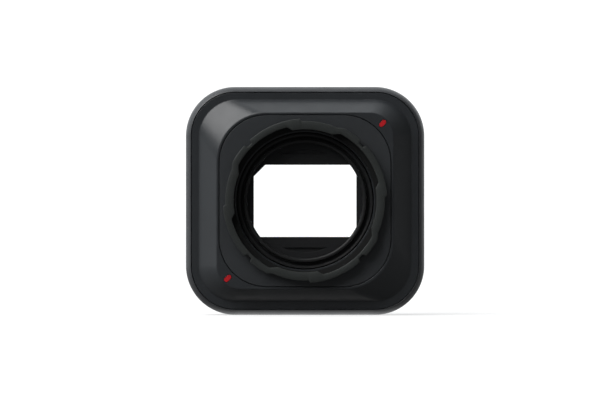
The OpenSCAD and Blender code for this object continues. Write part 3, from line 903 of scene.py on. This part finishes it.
class LENS_OT_stage(BuildStep, bpy.types.Operator):
    """Lay the pale floor, set the soft light and place the camera in front of the mount"""
    bl_idname = "lens.stage"
    bl_label = "Stage"

    def execute(self, context):
        scene = context.scene
        scene.view_settings.view_transform = "Standard"
        floor_z, half_mm = CAD_BOX[0][2] / MM - 0.02, 4000      # a hair under the lens
        bm = bmesh.new()
        bmesh.ops.create_grid(bm, x_segments=1, y_segments=1, size=half_mm,
                              matrix=Matrix.Translation((0, 0, floor_z)))
        floor = linked("floor", bm)
        floor.data.materials.append(floor_finish())
        studio_world(scene)

        key = bpy.data.lights.new("key", "SUN")
        key.energy, key.angle = 2.55, math.radians(54)      # as broad as a large soft box
        made = bpy.data.objects.new("key", key)
        made.rotation_mode = "QUATERNION"
        from_upper_left = Vector((-0.56, -0.38, 0.73))
        made.rotation_quaternion = from_upper_left.to_track_quat("Z", "Y")
        context.collection.objects.link(made)

        lens_mm, sensor_mm, wide_mm = 400, 36, 125.75       # the last is the view's width at the aim
        aim_x, aim_y, aim_z = -1.07, 5, 0.18
        far = lens_mm * wide_mm / sensor_mm
        camera = bpy.data.cameras.new("camera")
        camera.lens, camera.sensor_width = lens_mm, sensor_mm
        camera.clip_start, camera.clip_end = 0.05, 50
        camera.dof.use_dof = False
        made = bpy.data.objects.new("camera", camera)
        made.location = Vector((aim_x, aim_y - far, aim_z)) * MM
        made.rotation_euler = (math.pi / 2, 0, 0)
        context.collection.objects.link(made)
        scene.camera = made
        return {"FINISHED"}


def floor_finish():
    """Pale seamless paper: close to white for the viewer. For the lens it is a dim floor that glows in
    a strip below and behind, so that the lens is lit as in a dark room with a bright backdrop."""
    made = bpy.data.materials.new("seamless_paper_white")
    made.use_nodes = True
    tree = made.node_tree
    tree.nodes.clear()
    seen = seen_directly(tree)
    place = add(tree, "ShaderNodeSeparateXYZ", {"Vector": place_of(tree)}).outputs
    across = add(tree, "ShaderNodeMath", {0: place["X"]}, operation="ABSOLUTE").outputs["Value"]
    strip, edge, strip_glow, edge_glow = 14 * MM, 22 * MM, 1.2, 0.24
    start, full = 3.2 * MM, 4.4 * MM        # the glow begins behind the rear cover
    under = spread(tree, across, strip_glow, edge_glow, strip, edge)
    behind = spread(tree, place["Y"], 0, 1, start, full)
    lit = add(tree, "ShaderNodeMath", {0: behind, 1: under, 2: 0.04}, operation="MULTIPLY_ADD")
    sides = []
    for albedo, glow in ((0.08, lit.outputs["Value"]), (0.45, 0.62)):
        paper = add(tree, "ShaderNodeBsdfDiffuse", {"Color": (albedo, albedo, albedo, 1)})
        light = add(tree, "ShaderNodeEmission", {"Color": (1, 1, 1, 1), "Strength": glow})
        sides.append(add(tree, "ShaderNodeAddShader", {0: paper.outputs["BSDF"],
                                                       1: light.outputs["Emission"]}).outputs["Shader"])
    both = add(tree, "ShaderNodeMixShader", {0: seen, 1: sides[0], 2: sides[1]}).outputs["Shader"]
    add(tree, "ShaderNodeOutputMaterial", {"Surface": both})
    return made


def seen_directly(tree):
    """1 for what the viewer sees, straight or through glass, and 0 for light that reaches a surface"""
    path = add(tree, "ShaderNodeLightPath").outputs
    return add(tree, "ShaderNodeMath", {0: path["Is Camera Ray"], 1: path["Is Transmission Ray"]},
               operation="MAXIMUM").outputs["Value"]


def studio_world(scene):
    """White behind everything for the viewer. The light on the lens comes from a room that is bright
    behind it, a little to the left, and dark towards the viewer."""
    world = bpy.data.worlds.new("studio")
    scene.world = world
    world.use_nodes = True
    tree = world.node_tree
    tree.nodes.clear()
    white = add(tree, "ShaderNodeBackground", {"Color": (1, 1, 1, 1), "Strength": 1.15})
    way = add(tree, "ShaderNodeTexCoord").outputs["Generated"]
    bright_side = Vector((-0.22, 0.97, 0.06)).normalized()
    behind = add(tree, "ShaderNodeVectorMath", {0: way, 1: bright_side},
                 operation="DOT_PRODUCT").outputs["Value"]
    light = add(tree, "ShaderNodeMapRange", {"Value": behind, "From Min": 0.06, "From Max": 0.32,
                                             "To Min": 0.08, "To Max": 1.2},
                interpolation_type="SMOOTHSTEP").outputs["Result"]
    room = add(tree, "ShaderNodeBackground", {"Color": (0.95, 0.98, 1, 1), "Strength": light})
    both = add(tree, "ShaderNodeMixShader", {0: seen_directly(tree), 1: room.outputs["Background"],
                                             2: white.outputs["Background"]}).outputs["Shader"]
    add(tree, "ShaderNodeOutputWorld", {"Surface": both})


class LENS_PT_build(bpy.types.Panel):
    """Lists the pieces of the lens and its stage, in the order in which they are built"""
    bl_idname = "LENS_PT_build"
    bl_label = "Conversion lens"
    bl_space_type = "VIEW_3D"
    bl_region_type = "UI"
    bl_category = "Lens"

    def draw(self, context):
        for step in STEPS:
            self.layout.operator(step.bl_idname)
        for group in (context.scene.lens_sizes, context.scene.lens_colours):
            box = self.layout.box()
            for key in type(group).__annotations__:
                box.prop(group, key)


STEPS = (LENS_OT_casing, LENS_OT_rear_cover, LENS_OT_mount_panel, LENS_OT_bayonet_ring,
         LENS_OT_index_marks, LENS_OT_barrel, LENS_OT_field_mask, LENS_OT_glass, LENS_OT_front_trim,
         LENS_OT_inner_parts, LENS_OT_stage)
CLASSES = (LensSizes, LensColours, *STEPS, LENS_PT_build)


def register():
    for cls in CLASSES:
        bpy.utils.register_class(cls)
    bpy.types.Scene.lens_sizes = PointerProperty(type=LensSizes)
    bpy.types.Scene.lens_colours = PointerProperty(type=LensColours)


def unregister():
    del bpy.types.Scene.lens_colours
    del bpy.types.Scene.lens_sizes
    for cls in reversed(CLASSES):
        bpy.utils.unregister_class(cls)


def main():
    """Builds every piece and the stage"""
    register()
    for step in STEPS:
        group, name = step.bl_idname.split(".")
        getattr(getattr(bpy.ops, group), name)()


if __name__ == "__main__":
    main()
